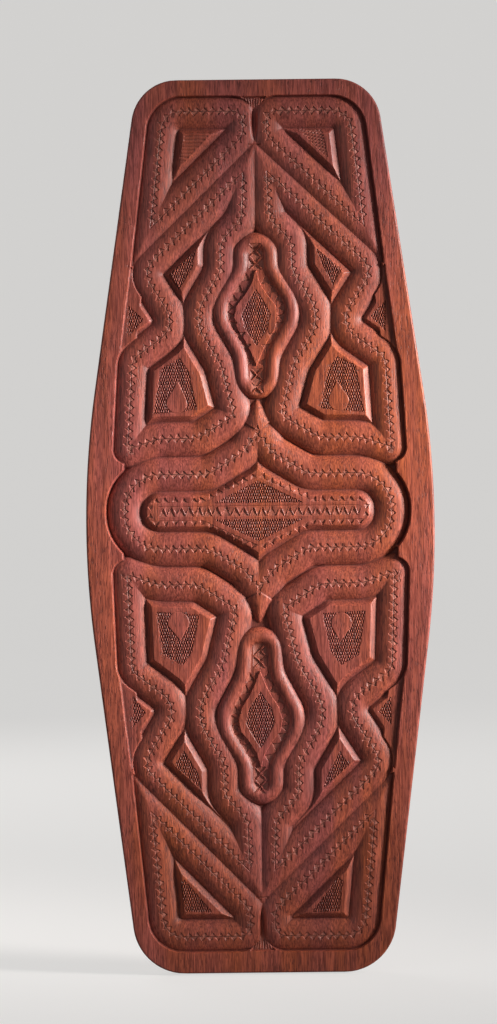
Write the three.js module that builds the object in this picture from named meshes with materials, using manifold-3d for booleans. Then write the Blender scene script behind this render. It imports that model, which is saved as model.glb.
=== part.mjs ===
// A carved wooden shield: one plank board with a relief-carved face, and on its back a wooden
// grip bar held between two pegged cleats. Millimetres. The shield stands upright: +Z runs up its
// length, the carved face looks along -Y, and the origin is the middle of the hand grip.
import * as THREE from 'three';
import Module from 'manifold-3d';
import { mergeVertices } from 'three/addons/utils/BufferGeometryUtils.js';

const wasm = await Module();
wasm.setup();

// Plank
const board = {
  length: 1000,
  waistWidth: 390,
  topWidth: 266, // across the top end, if its corners were sharp
  bottomWidth: 281,
  waistRadius: 1050,
  topCornerRadius: 51,
  bottomCornerRadius: 58,
  thickness: 24,
  arris: 2.4, // rounding of the outer edges
};

// Relief: convex bands with grooves between them, and islands that stand among the bands
const carving = {
  axisShift: -2.3, // the pattern's own axis lies a little to one side of the plank's
  centreRise: 16.8, // and its centre a little above the middle
  rimAtWaist: 25.2,
  rimAtEnds: 19,
  topRim: 19.5,
  bottomRim: 25,
  bandHalf: 16, // from a band's crest to an island or the rim
  bandReach: 20.4, // from a band's crest to the farthest neighbour that it meets
  levelPitch: 39.5, // from the middle band's crest to the level run of an S loop
  groundDepth: 9.5, // all depths are below the rim
  crestDrop: 1,
  islandDrop: 1.4,
  sideIslandDrop: 3.2,
  islandBevel: 11,
};

// Crest of the middle band, measured from the pattern's centre
const lens = {
  halfHeight: 41.5,
  apexHeight: 90,
  kneeHeight: 66,
  kneeOut: 15.5,
  shoulderOut: 56,
  endRadius: 41,
  bendRadius: 30,
  apexRadius: 8,
};

// Rim of a vertical lens: a narrower band around its sunk floor
const lensRim = {
  reach: 10.6, // from its crest to its foot
  crestDrop: 1.2,
};

// Sunk panels in the lens-shaped islands
const panel = {
  sink: 1.8,
  floorSink: 3.4,
  endInset: 32, // from the middle band's crest
  halfHeight: 16.5,
  slopeOut: 62,
  peakHeight: 46,
  barInset: 7,
  barHalfHeight: 6,
  diamondHalfWidth: 50,
  diamondHalfHeight: 34,
};

// Handle on the back
const handle = {
  fingerGap: 42,
  gripLength: 124,
  gripRadius: 16.5,
  gripEndRadius: 13.5,
  tenonRadius: 10,
  tenonLength: 26,
  cleatWidth: 54,
  cleatEase: 2,
  headLength: 46,
  headWall: 13, // wood around the tenon
  toeLength: 46,
  toeHeight: 15,
  pegRadius: 5,
  pegDepth: 9, // into the board
  pegSpread: 15, // from the middle to each peg
  pinRadius: 3,
};

const seatGap = 0.3; // between pieces that touch
const overrun = 4; // how far a cutting solid passes the surface that it cuts
const lap = 0.02; // how far the stretches of a sweep run into each other on the inside of a bend
const arcStep = Math.PI / 9;
const waistSteps = 8;
const flankSteps = 10;
const turnedSides = 20;
const pegSides = 14;

// Crest lines of one quarter of the pattern. Each corner is [across, along, bend]: across is a
// share of the way from the pattern's axis to the crest of a band that hugs the rim, along is a
// share of the way from an S loop's level run to the crest that hugs the end, and bend is the
// radius of the corner as a share of half a band.
const sLoopShares = [
  [0.117, 0.816, 0], [1.02, 0.514, 1.25], [0.668, 0.346, 1.5], [1.012, 0.246, 1.1],
  [0.976, -0.029, 0], [0.755, 0.002, 3.8], [0.453, 0.002, 1.9], [0.176, 0.072, 0.55],
  [0.29, 0.227, 3.1], [0.54, 0.368, 2.5], [0.315, 0.514, 1.9], [0.325, 0.6, 1.5],
  [0.128, 0.673, 1.25],
];
const cornerLoopShares = [
  [0.13, 1, 0.75], [1.012, 1, 1.4], [0.996, 0.645, 0], [0.12, 0.926, 1.1],
];

// Half the rim of a vertical lens, with its across as a share of half a band, and half the
// outline of the diamond on its floor
const lensRimShares = [
  [1, 0.603, 1], [1.06, 0.515, 2], [2.92, 0.394, 2.5], [1.16, 0.257, 2.4], [1.02, 0.15, 1],
];
const lensDiamondShares = [[0, 0.49], [0.145, 0.405], [0, 0.315]];

// The low island between an S loop and the rim, and the notch between two corner loops
const sideIslandShares = [[0.8, 0.36], [1, 0.26], [1, 0.47]];
const endNotchShares = [[0.2, 1], [0.05, 0.9]];

const halfLength = board.length / 2;
const gripStandoff = handle.fingerGap + handle.gripRadius;
const headHeight = gripStandoff + handle.tenonRadius + handle.headWall;

// The angle of a straight flank, which leaves the waist's arc and runs to the end's corner
function flankSlope(end) {
  const endHalf = (end > 0 ? board.topWidth : board.bottomWidth) / 2;
  const run = board.waistRadius - board.waistWidth / 2 + endHalf;
  const reach = Math.hypot(run, halfLength);
  return Math.atan2(halfLength, run) - Math.acos(board.waistRadius / reach);
}

function tangentHeight(end) {
  return end * board.waistRadius * Math.sin(flankSlope(end));
}

// Half the width of the plank at a height
function outlineHalf(z) {
  const end = Math.sign(z) || 1;
  const centre = board.waistWidth / 2 - board.waistRadius;
  if (Math.abs(z) < Math.abs(tangentHeight(end))) {
    return centre + Math.sqrt(board.waistRadius ** 2 - z ** 2);
  }
  const slope = flankSlope(end);
  return centre + (board.waistRadius - Math.abs(z) * Math.sin(slope)) / Math.cos(slope);
}

// Half the width inside the rim
function fieldHalf(z) {
  const share = Math.abs(z) / halfLength;
  return outlineHalf(z) - THREE.MathUtils.lerp(carving.rimAtWaist, carving.rimAtEnds, share);
}

// Height of the field's edge at an end
function fieldEnd(end) {
  return end * (halfLength - (end > 0 ? carving.topRim : carving.bottomRim));
}

// A place in one quarter, from its shares: side is -1 or 1 across, end is -1 or 1 along
function place(side, end, across, along) {
  const level = carving.centreRise + end * (lens.halfHeight + carving.levelPitch);
  const z = THREE.MathUtils.lerp(level, fieldEnd(end) - end * carving.bandHalf, along);
  const crest = side * (fieldHalf(z) - carving.bandHalf);
  return new THREE.Vector2(THREE.MathUtils.lerp(carving.axisShift, crest, across), z);
}

// A place measured from the pattern's centre
function fromCentre(x, z) {
  return new THREE.Vector2(carving.axisShift + x, carving.centreRise + z);
}

// A closed line through corners, each a point and the radius of the arc that rounds it
function roundedLine(corners) {
  const line = [];
  corners.forEach(({ point, radius }, i) => {
    const before = corners.at(i - 1).point.clone().sub(point);
    const after = corners[(i + 1) % corners.length].point.clone().sub(point);
    const halfTurn = (Math.PI - before.angleTo(after)) / 2;
    const room = Math.min(before.length(), after.length()) * 0.48;
    const cut = Math.min(radius * Math.tan(halfTurn), room);
    if (cut === 0) {
      line.push(point);
      return;
    }
    const inward = before.normalize().clone().add(after.normalize());
    const middle = inward.setLength(cut / Math.sin(halfTurn)).add(point);
    const start = before.multiplyScalar(cut).add(point).sub(middle);
    const finish = after.multiplyScalar(cut).add(point).sub(middle);
    const sweep = Math.atan2(start.cross(finish), start.dot(finish));
    const steps = Math.ceil(Math.abs(sweep) / arcStep);
    for (let step = 0; step <= steps; step += 1) {
      const angle = (sweep * step) / steps;
      line.push(start.clone().rotateAround(new THREE.Vector2(), angle).add(middle));
    }
  });
  return THREE.ShapeUtils.area(line) > 0 ? line : line.reverse();
}

function quarterLine(shares, side, end) {
  return roundedLine(shares.map(([across, along, bend]) => (
    { point: place(side, end, across, along), radius: bend * carving.bandHalf }
  )));
}

// The middle band's crest, from its top apex around by the right
function lensLine() {
  const endOut = fieldHalf(carving.centreRise) - carving.bandReach;
  const quarter = [
    [lens.kneeOut, lens.kneeHeight, lens.bendRadius],
    [lens.shoulderOut, lens.halfHeight, lens.bendRadius],
    [endOut, lens.halfHeight, lens.endRadius],
  ];
  const halfLine = [
    [0, lens.apexHeight, lens.apexRadius],
    ...quarter,
    ...quarter.map(([x, z, radius]) => [x, -z, radius]).reverse(),
  ];
  const corners = [...halfLine, ...halfLine.map(([x, z, radius]) => [-x, -z, radius])];
  return roundedLine(corners.map(([x, z, radius]) => ({ point: fromCentre(x, z), radius })));
}

// Crest of the rim round a vertical lens
function lensRimLine(end) {
  const side = (sign) => lensRimShares.map(([across, along, bend]) => {
    const { y } = place(sign, end, 0, along);
    const point = new THREE.Vector2(carving.axisShift + sign * across * carving.bandHalf, y);
    return { point, radius: bend * carving.bandHalf };
  });
  return roundedLine([...side(1), ...side(-1).reverse()]);
}

// A closed geometry as a solid for joins and cuts, without the faces that merging has closed up
function toSolid(geometry) {
  const bare = geometry.clone();
  bare.deleteAttribute('normal');
  bare.deleteAttribute('uv');
  const merged = mergeVertices(bare);
  const { array } = merged.index;
  const triVerts = [];
  for (let i = 0; i < array.length; i += 3) {
    const corners = new Set(array.slice(i, i + 3));
    if (corners.size === 3) {
      triVerts.push(...corners);
    }
  }
  return new wasm.Manifold(new wasm.Mesh({
    numProp: 3,
    vertProperties: merged.getAttribute('position').array,
    triVerts: Uint32Array.from(triVerts),
  }));
}

function toGeometry(solid) {
  const { vertProperties, triVerts } = solid.getMesh();
  const geometry = new THREE.BufferGeometry();
  geometry.setAttribute('position', new THREE.BufferAttribute(vertProperties, 3));
  geometry.setIndex(new THREE.BufferAttribute(triVerts, 1));
  geometry.computeVertexNormals();
  return geometry;
}

// Joins many solids pair by pair, which is quicker than one after another
function joined(solids) {
  let left = solids;
  while (left.length > 1) {
    const pairs = left.filter((_, i) => i % 2 === 0);
    left = pairs.map((solid, i) => (left[2 * i + 1] ? solid.add(left[2 * i + 1]) : solid));
  }
  return left[0];
}

// The part of a convex section of [offset, height] points up to an offset, on one side of it
function trimmed(section, limit) {
  const beyond = ([offset]) => (offset - limit) * Math.sign(limit) > 0;
  return section.flatMap((point, i) => {
    const next = section[(i + 1) % section.length];
    const kept = beyond(point) ? [] : [point];
    if (beyond(point) !== beyond(next)) {
      const share = (limit - point[0]) / (next[0] - point[0]);
      kept.push([limit, THREE.MathUtils.lerp(point[1], next[1], share)]);
    }
    return kept;
  });
}

// At each corner of a closed line, the step along the mitre for one unit of offset. Both stretches
// that meet there use the same one, so that their end faces coincide on the outside of the bend.
function mitres(line) {
  const normals = line.map((point, i) => {
    const along = line[(i + 1) % line.length].clone().sub(point).normalize();
    return new THREE.Vector2(-along.y, along.x);
  });
  return normals.map((normal, i) => {
    const before = normals.at(i - 1);
    return before.clone().add(normal).divideScalar(1 + before.dot(normal));
  });
}

// One straight stretch of a sweep: a convex section run from corner to corner and cut on the
// mitre plane at each. Where the two mitres cross, the section is trimmed. On the inside of a bend
// it laps its neighbour, which is the higher one there, so no two faces nearly coincide.
function stretch(section, from, to, mitreFrom, mitreTo) {
  const along = to.clone().sub(from);
  const run = along.length();
  along.normalize();
  const leans = [mitreFrom.dot(along), mitreTo.dot(along)];
  const crossing = run / (leans[0] - leans[1] || Number.EPSILON);
  const ringPoints = trimmed(section, crossing);
  const rings = [[], []];
  for (const [offset, height] of ringPoints) {
    const ends = [from.clone().addScaledVector(mitreFrom, offset)];
    ends.push(to.clone().addScaledVector(mitreTo, offset));
    if (offset === crossing) {
      ends[1].copy(ends[0].lerp(ends[1], 0.5));
    }
    [-1, 1].forEach((way, i) => {
      if (offset * leans[i] * way < 0) {
        ends[i].addScaledVector(along, way * lap);
      }
      rings[i].push(ends[i].x, ends[i].y, height);
    });
  }
  const count = ringPoints.length;
  const faces = [];
  for (let i = 0; i < count; i += 1) {
    const next = (i + 1) % count;
    faces.push(i, next, count + next, i, count + next, count + i);
    if (i > 1) {
      faces.push(0, i, i - 1, count, count + i - 1, count + i);
    }
  }
  const geometry = new THREE.BufferGeometry();
  const positions = new Float32Array([...rings[0], ...rings[1]]);
  geometry.setAttribute('position', new THREE.BufferAttribute(positions, 3));
  geometry.setIndex(faces);
  return toSolid(geometry);
}

// A section swept along a closed line that runs anticlockwise, so offsets point inwards
function sweep(section, line) {
  const corners = mitres(line);
  return line.map((point, i) => {
    const next = (i + 1) % line.length;
    return stretch(section, point, line[next], corners[i], corners[next]);
  });
}

function prism(points, bottom, top) {
  const options = { depth: top - bottom, bevelEnabled: false };
  const geometry = new THREE.ExtrudeGeometry(new THREE.Shape(points), options);
  return toSolid(geometry.translate(0, 0, bottom));
}

function rod(radius, length, sides) {
  return new THREE.CylinderGeometry(radius, radius, length, sides);
}

function plankShape() {
  const heights = [-halfLength];
  for (let step = 0; step <= waistSteps; step += 1) {
    heights.push(THREE.MathUtils.lerp(tangentHeight(-1), tangentHeight(1), step / waistSteps));
  }
  heights.push(halfLength);
  const radii = heights.map(() => 0);
  radii[0] = board.bottomCornerRadius;
  radii[radii.length - 1] = board.topCornerRadius;
  const side = (sign) => heights.map((z, i) => (
    { point: new THREE.Vector2(sign * outlineHalf(z), z), radius: radii[i] }
  ));
  return new THREE.Shape(roundedLine([...side(1), ...side(-1).reverse()]));
}

// The outline of the field inside the rim, drawn in by an inset
function fieldOutline(inset) {
  const bottom = fieldEnd(-1) + inset;
  const top = fieldEnd(1) - inset;
  const points = [];
  for (let step = 0; step <= flankSteps; step += 1) {
    const z = THREE.MathUtils.lerp(bottom, top, step / flankSteps);
    points.push(new THREE.Vector2(fieldHalf(z) - inset, z));
  }
  return [...points, ...points.map(({ x, y }) => new THREE.Vector2(-x, y)).reverse()];
}

// Ground between the middle band and the S loops' level runs
function levelGround(bottom, top) {
  const quarters = [[-1, 1], [1, 1], [1, -1], [-1, -1]];
  const ring = quarters.flatMap(([side, end]) => {
    const run = sLoopShares.slice(4, 8).map(([across, along]) => place(side, end, across, along));
    return side === end ? run.reverse() : run;
  });
  return prism(ring, bottom, top).subtract(prism(lensLine(), bottom - overrun, top + overrun));
}

// The low islands beside the rim and the notches at the ends
function lowIslands(bottom, top) {
  const cuts = [];
  for (const end of [-1, 1]) {
    const [[wide, high], [narrow, low]] = endNotchShares;
    const shoulders = [-1, 1].map((side) => place(side, end, wide, high));
    const feet = [1, -1].map((side) => place(side, end, narrow, low));
    shoulders.forEach((point) => point.setY(fieldEnd(end)));
    cuts.push(prism([...shoulders, ...feet], bottom, top));
    for (const side of [-1, 1]) {
      const island = sideIslandShares.map(([across, along]) => place(side, end, across, along));
      island.slice(1).forEach((point) => point.setX(side * fieldHalf(point.y)));
      cuts.push(prism(island, bottom, top));
    }
  }
  return joined(cuts);
}

// The sunk panel of the middle island, around a raised bar and diamond
function middlePanel(level, top) {
  const sunk = level - panel.sink;
  const panelEnd = fieldHalf(carving.centreRise) - carving.bandReach - panel.endInset;
  const barEnd = panelEnd - panel.barInset;
  const turned = (points) => [...points, ...points.map(([x, z]) => [-x, -z])];
  const cut = (points, bottom, height) => (
    prism(turned(points).map(([x, z]) => fromCentre(x, z)), bottom, height)
  );
  const outline = [
    [-panelEnd, panel.halfHeight],
    [-panel.slopeOut, panel.halfHeight],
    [0, panel.peakHeight],
    [panel.slopeOut, panel.halfHeight],
    [panelEnd, panel.halfHeight],
  ];
  const bar = [[-barEnd, panel.barHalfHeight], [barEnd, panel.barHalfHeight]];
  const diamond = [[-panel.diamondHalfWidth, 0], [0, panel.diamondHalfHeight]];
  const raised = [bar, diamond].map((points) => cut(points, sunk - overrun, top + overrun));
  return cut(outline, sunk, top).subtract(joined(raised));
}

// The low floor of a vertical lens, with a diamond standing on it
function lensFloor(end, line, bottom, level) {
  const half = (side) => lensDiamondShares.map(([across, along]) => place(side, end, across, along));
  const diamond = [...half(1), ...half(-1).slice(1, -1)];
  return prism(line, bottom, level - panel.floorSink).add(prism(diamond, bottom, level - panel.sink));
}

// Where the cleats' pegs enter the board's back
function pegPlaces() {
  const along = handle.gripLength / 2 + handle.headLength + handle.toeLength / 2;
  return [1, -1].flatMap((end) => [-1, 1].map((side) => (
    { end, side, x: side * handle.pegSpread, z: end * along }
  )));
}

// The board lies on its back while it is cut: x across, y along, z from the back to the rim
function makeBoard() {
  const rimTop = board.thickness;
  const ground = rimTop - carving.groundDepth;
  const sky = rimTop + overrun;
  const island = rimTop - carving.islandDrop;
  const slab = new THREE.ExtrudeGeometry(plankShape(), {
    depth: board.thickness - 2 * board.arris,
    bevelThickness: board.arris,
    bevelSize: board.arris,
    bevelOffset: -board.arris,
    bevelSegments: 2,
  });

  // bands are cut down to the ground, with steep walls at the rim and bevels on the islands
  const { bandHalf, bandReach } = carving;
  const trough = (outer) => [[-outer, ground], [bandHalf, ground], [bandHalf, sky], [-outer, sky]];
  const bevelTop = bandHalf + (carving.islandBevel * (sky - ground)) / carving.groundDepth;
  const bevel = [[-bandHalf, ground], [bandHalf, ground], [bevelTop, sky], [-bevelTop, sky]];
  const middleLine = lensLine();
  const loopLines = [-1, 1].flatMap((side) => [-1, 1].flatMap((end) => [
    quarterLine(sLoopShares, side, end),
    quarterLine(cornerLoopShares, side, end),
  ]));
  const lines = [middleLine, ...loopLines];
  const rimLines = [1, -1].map(lensRimLine);
  const troughs = [
    ...[middleLine, ...rimLines].flatMap((line) => sweep(trough(bandReach), line)),
    ...loopLines.flatMap((line) => sweep(trough(bandHalf), line)),
  ];
  const innerField = fieldOutline(bandHalf);
  const bevels = joined(lines.flatMap((line) => sweep(bevel, line)));
  const cuts = [
    joined(troughs),
    bevels.intersect(prism(innerField, ground - overrun, sky + overrun)),
    prism(innerField, island, sky),
    levelGround(ground, sky),
    lowIslands(rimTop - carving.sideIslandDrop, sky),
    middlePanel(island, sky),
  ];

  // each band's convex back is laid along its crest line again
  const foot = ground - overrun;
  const bandShares = [1, 0.68, 0.36, 0, -0.36, -0.68, -1];
  const rimShares = [1, 0.6, 0, -0.6, -1];
  const ridge = (reach, crest, shares) => {
    const back = shares.map((share) => [share * reach, crest - (crest - ground) * share ** 2]);
    return [[-reach, foot], [reach, foot], ...back];
  };
  const bandRidge = ridge(bandReach, rimTop - carving.crestDrop, bandShares);
  const bands = lines.flatMap((line) => sweep(bandRidge, line));
  const rimRidge = ridge(lensRim.reach, rimTop - lensRim.crestDrop, rimShares);
  const rims = rimLines.flatMap((line, i) => (
    [...sweep(rimRidge, line), lensFloor(i === 0 ? 1 : -1, line, foot, island)]
  ));
  const ridges = joined([...bands, ...rims])
    .intersect(prism(fieldOutline(-carving.rimAtEnds / 2), foot - overrun, sky));

  const holeLength = handle.pegDepth + seatGap + overrun;
  const holes = pegPlaces().map(({ x, z }) => {
    const hole = rod(handle.pegRadius + seatGap, holeLength, pegSides).rotateX(Math.PI / 2);
    return toSolid(hole.translate(x, z, holeLength / 2 - overrun));
  });
  return toSolid(slab.translate(0, 0, board.arris))
    .subtract(joined(cuts))
    .add(ridges)
    .subtract(joined(holes));
}

// Everything on the back is drawn around the grip's middle: x across, y away from the board, z up

// A cleat: its head takes the grip's tenon, and its low toe behind is pegged to the board
function makeCleat(end) {
  const { headLength, toeLength, toeHeight, cleatEase, gripLength, tenonLength } = handle;
  const headBack = headLength * 0.7;
  const length = headLength + toeLength;
  const profile = new THREE.Shape();
  profile.lineTo(length, 0);
  profile.lineTo(length, toeHeight);
  profile.lineTo(headLength, toeHeight);
  profile.bezierCurveTo(headBack, toeHeight, headLength, headHeight, headBack, headHeight);
  profile.lineTo(0, headHeight);
  const block = new THREE.ExtrudeGeometry(profile, {
    depth: handle.cleatWidth - 2 * cleatEase,
    bevelThickness: cleatEase,
    bevelSize: cleatEase,
    bevelOffset: -cleatEase,
    bevelSegments: 1,
    curveSegments: 8,
  });
  block.translate(0, 0, cleatEase - handle.cleatWidth / 2);
  block.rotateY((-end * Math.PI) / 2);
  block.translate(0, seatGap - gripStandoff, (end * gripLength) / 2);

  const boreLength = tenonLength + seatGap + overrun;
  const bore = rod(handle.tenonRadius + seatGap, boreLength, turnedSides).rotateX(Math.PI / 2);
  bore.translate(0, 0, end * (gripLength / 2 - overrun + boreLength / 2));
  const pinHole = rod(handle.pinRadius + seatGap, handle.cleatWidth + overrun, pegSides);
  pinHole.rotateZ(Math.PI / 2).translate(0, 0, end * pinHeight());
  const pegHoles = pegPlaces().filter((peg) => peg.end === end).map(({ x, z }) => {
    const hole = rod(handle.pegRadius + seatGap, 2 * (toeHeight + overrun), pegSides);
    return toSolid(hole.translate(x, -gripStandoff, z));
  });
  const holes = joined([toSolid(bore), toSolid(pinHole), ...pegHoles]);
  return toSolid(block).subtract(holes);
}

// Cross pins pass through the middle of each tenon
function pinHeight() {
  return (handle.gripLength + handle.tenonLength) / 2;
}

// The grip swells towards its middle and ends in two round tenons
function makeGrip() {
  const { gripRadius, gripEndRadius, tenonRadius, tenonLength } = handle;
  const shoulder = handle.gripLength / 2 - seatGap;
  const tip = handle.gripLength / 2 + tenonLength;
  const profile = [new THREE.Vector2(0, -tip), new THREE.Vector2(tenonRadius, -tip)];
  profile.push(new THREE.Vector2(tenonRadius, -shoulder));
  for (let step = -flankSteps; step <= flankSteps; step += 2) {
    const share = step / flankSteps;
    const radius = THREE.MathUtils.lerp(gripRadius, gripEndRadius, share ** 2);
    profile.push(new THREE.Vector2(radius, shoulder * share));
  }
  profile.push(new THREE.Vector2(tenonRadius, shoulder), new THREE.Vector2(tenonRadius, tip));
  profile.push(new THREE.Vector2(0, tip));
  const bar = new THREE.LatheGeometry(profile, turnedSides).rotateX(Math.PI / 2);
  const holes = [-1, 1].map((end) => {
    const hole = rod(handle.pinRadius + seatGap, 2 * tenonRadius + overrun, pegSides);
    return toSolid(hole.rotateZ(Math.PI / 2).translate(0, 0, end * pinHeight()));
  });
  return toSolid(bar).subtract(joined(holes));
}

const boardWood = new THREE.MeshStandardMaterial({ color: 0x9a4a36, roughness: 0.6, metalness: 0 });
const handleWood = new THREE.MeshStandardMaterial({ color: 0x8a4030, roughness: 0.55, metalness: 0 });
const pegWood = new THREE.MeshStandardMaterial({ color: 0xa8613f, roughness: 0.6, metalness: 0 });

const shield = new THREE.Group();

function addPiece(name, geometry, material) {
  const mesh = new THREE.Mesh(geometry, material);
  mesh.name = name;
  shield.add(mesh);
  return mesh;
}

const plank = addPiece('carved_board', toGeometry(makeBoard()), boardWood);
plank.rotation.x = Math.PI / 2;
plank.position.y = -gripStandoff;

addPiece('grip_bar', toGeometry(makeGrip()), handleWood);
for (const [name, end] of [['upper', 1], ['lower', -1]]) {
  addPiece(`${name}_cleat`, toGeometry(makeCleat(end)), handleWood);
  const pin = addPiece(`${name}_grip_pin`, rod(handle.pinRadius, handle.cleatWidth, pegSides), pegWood);
  pin.rotation.z = Math.PI / 2;
  pin.position.z = end * pinHeight();
}
for (const { end, side, x, z } of pegPlaces()) {
  const name = `${end > 0 ? 'upper' : 'lower'}_cleat_peg_${side < 0 ? 'left' : 'right'}`;
  const length = handle.pegDepth + seatGap + handle.toeHeight;
  const peg = addPiece(name, rod(handle.pegRadius, length, pegSides), pegWood);
  peg.position.set(x, length / 2 - handle.pegDepth - gripStandoff, z);
}

export default shield;
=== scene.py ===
# %% [markdown]
# # A carved wooden shield
# A tall plank of reddish-brown hardwood. Its face is carved with rounded bands, islands between
# them, rows of small triangular chips and hatched fields. On the back is a rounded grip held by two
# pegged cleats. The solid model gives every size; here the pieces get their finish. Lengths are
# metres, the face looks along -Y, and +Z runs up the plank with the grain.

# %% Load the solid model
import math

import bpy
import numpy as np
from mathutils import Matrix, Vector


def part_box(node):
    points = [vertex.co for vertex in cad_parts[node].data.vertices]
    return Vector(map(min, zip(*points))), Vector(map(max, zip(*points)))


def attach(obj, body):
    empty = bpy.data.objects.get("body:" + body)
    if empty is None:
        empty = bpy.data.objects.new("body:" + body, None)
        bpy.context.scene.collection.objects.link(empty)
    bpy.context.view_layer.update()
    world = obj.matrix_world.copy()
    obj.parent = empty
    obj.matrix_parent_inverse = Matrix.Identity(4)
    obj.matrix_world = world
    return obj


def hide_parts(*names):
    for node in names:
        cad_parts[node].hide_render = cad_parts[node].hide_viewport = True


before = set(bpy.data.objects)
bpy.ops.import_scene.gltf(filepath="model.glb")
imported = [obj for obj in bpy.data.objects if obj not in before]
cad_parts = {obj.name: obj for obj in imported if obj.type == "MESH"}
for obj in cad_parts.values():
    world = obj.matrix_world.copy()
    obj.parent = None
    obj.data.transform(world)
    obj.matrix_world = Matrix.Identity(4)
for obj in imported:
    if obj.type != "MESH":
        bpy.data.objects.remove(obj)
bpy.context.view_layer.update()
bpy.ops.object.select_all(action="DESELECT")
MM = 0.001

# %% [markdown]
# ## Camera
# The shield was seen straight on from a few metres away, which a long lens gives. It leans by a
# little over half a degree in the picture, so the camera is rolled by as much, and it is moved a
# little to the side and up so that the shield stands where it should in the frame.

# %% Camera
FRAME_HEIGHT_PX = 1024
SHIELD_HEIGHT_PX = 894
SHIELD_CENTRE_PX = (260.4, 526.0)
FRAME_CENTRE_PX = (248.5, 512.0)
LEAN = math.atan(9 / 822)  # 9 px across over 822 px of height
CAMERA_DISTANCE = 3.4
SENSOR = 36.0

board_low, board_high = (np.array(corner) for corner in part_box("carved_board"))
metres_per_px = (board_high[2] - board_low[2]) / SHIELD_HEIGHT_PX
right = np.array((math.cos(LEAN), -math.sin(LEAN)))
up = np.array((math.sin(LEAN), math.cos(LEAN)))
off_right = (SHIELD_CENTRE_PX[0] - FRAME_CENTRE_PX[0]) * metres_per_px
off_down = (SHIELD_CENTRE_PX[1] - FRAME_CENTRE_PX[1]) * metres_per_px
aim = up * off_down - right * off_right

bpy.ops.object.camera_add(
    location=(aim[0], board_low[1] - CAMERA_DISTANCE, aim[1]),
    rotation=(math.pi / 2, LEAN, 0),
)
camera = bpy.context.object
camera.name = "camera"
camera.data.sensor_fit = "VERTICAL"
camera.data.sensor_height = SENSOR
camera.data.lens = SENSOR * CAMERA_DISTANCE / (FRAME_HEIGHT_PX * metres_per_px)
camera.data.clip_end = 50
bpy.context.scene.camera = camera
print("camera at", [round(v, 3) for v in camera.location], "lens", round(camera.data.lens, 1))

# %% [markdown]
# ## Tools for shader trees
# The materials and the world are built from nodes. One function adds a node and gives each of its
# inputs a value or the socket that feeds it, and two more add the kinds that are used most.


# %% Tools for shader trees
def feed(tree, node, inputs):
    for name, value in inputs.items():
        if isinstance(value, bpy.types.NodeSocket):
            tree.links.new(value, node.inputs[name])
        else:
            node.inputs[name].default_value = value


def add_node(tree, kind, inputs=None, **settings):
    node = tree.nodes.new(kind)
    for name, value in settings.items():
        setattr(node, name, value)
    feed(tree, node, inputs or {})
    return node


def maths_in(tree):
    """A tool that adds a Math node to a tree, from numbers and sockets."""

    def maths(operation, *values):
        numbered = dict(enumerate(values))
        return add_node(tree, "ShaderNodeMath", numbered, operation=operation).outputs["Value"]

    return maths


def attribute_in(tree, name):
    return add_node(tree, "ShaderNodeAttribute", attribute_name=name).outputs["Fac"]


# %% [markdown]
# ## Stage
# A pale floor with a backdrop behind it: a plane whose far edge is extruded straight up. It lies
# just below the shield's bottom edge. Its own colour is dark enough to throw little light back on
# the shield's lower end, and a glow that only the camera sees makes it pale.

# %% Floor and backdrop
STAGE_SIZE, STAGE_HEIGHT, STAGE_GAP = 18, 5, 2 * MM
bpy.ops.mesh.primitive_plane_add(size=STAGE_SIZE, location=(0, -1, board_low[2] - STAGE_GAP))
floor = bpy.context.object
floor.name = "floor"
bpy.ops.object.mode_set(mode="EDIT")
bpy.ops.mesh.select_all(action="DESELECT")
bpy.ops.object.mode_set(mode="OBJECT")
for edge in floor.data.edges:
    edge.select = all(floor.data.vertices[i].co.y > 0 for i in edge.vertices)
bpy.ops.object.mode_set(mode="EDIT")
bpy.ops.mesh.select_mode(type="EDGE")
bpy.ops.mesh.extrude_region_move(TRANSFORM_OT_translate={"value": (0, 0, STAGE_HEIGHT)})
bpy.ops.object.mode_set(mode="OBJECT")
bpy.ops.object.shade_smooth()

# %% A floor that is pale to the camera
pale_floor = bpy.data.materials.new("pale_floor")
pale_floor.use_nodes = True
tree = pale_floor.node_tree
to_camera = add_node(tree, "ShaderNodeLightPath").outputs["Is Camera Ray"]
finish = {
    "Base Color": (0.30, 0.296, 0.29, 1),
    "Roughness": 0.9,
    "Emission Color": (0.78, 0.77, 0.75, 1),
    "Emission Strength": maths_in(tree)("MULTIPLY", to_camera, 0.78),
}
feed(tree, tree.nodes["Principled BSDF"], finish)
floor.data.materials.append(pale_floor)

# %% [markdown]
# ## Light
# The main light comes from the right and a little above, low enough across the face to shade the
# carving. Its spread is narrow, as behind a grid, so the plank's ends are darker than its middle.
# A broad weak one fills from the left, and another lights the back. The world is pale to the
# camera, and gives a soft even light to everything else.

# %% Lamps and world


def softbox(name, location, size, power, colour, spread=180, aim_height=0.0):
    bpy.ops.object.light_add(type="AREA", location=location)
    lamp = bpy.context.object
    lamp.name = name
    lamp.data.shape = "SQUARE"
    lamp.data.size = size
    lamp.data.energy = power
    lamp.data.spread = math.radians(spread)
    lamp.data.color = colour
    toward = np.array((0, 0, aim_height)) - location
    flat = math.hypot(toward[0], toward[1])
    lamp.rotation_euler = (math.pi / 2 + math.atan2(toward[2], flat), 0, math.atan2(-toward[0], toward[1]))


softbox("key", (2.1, -0.82, 0.5), 0.6, 4.85, (1.0, 0.95, 0.92), spread=30, aim_height=0.02)
softbox("fill", (-1.9, -2.6, 0.6), 1.8, 6, (1.0, 0.95, 0.9))
softbox("back_fill", (-1.4, 2.4, 1.6), 1.8, 40, (1.0, 0.98, 0.96))

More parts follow.
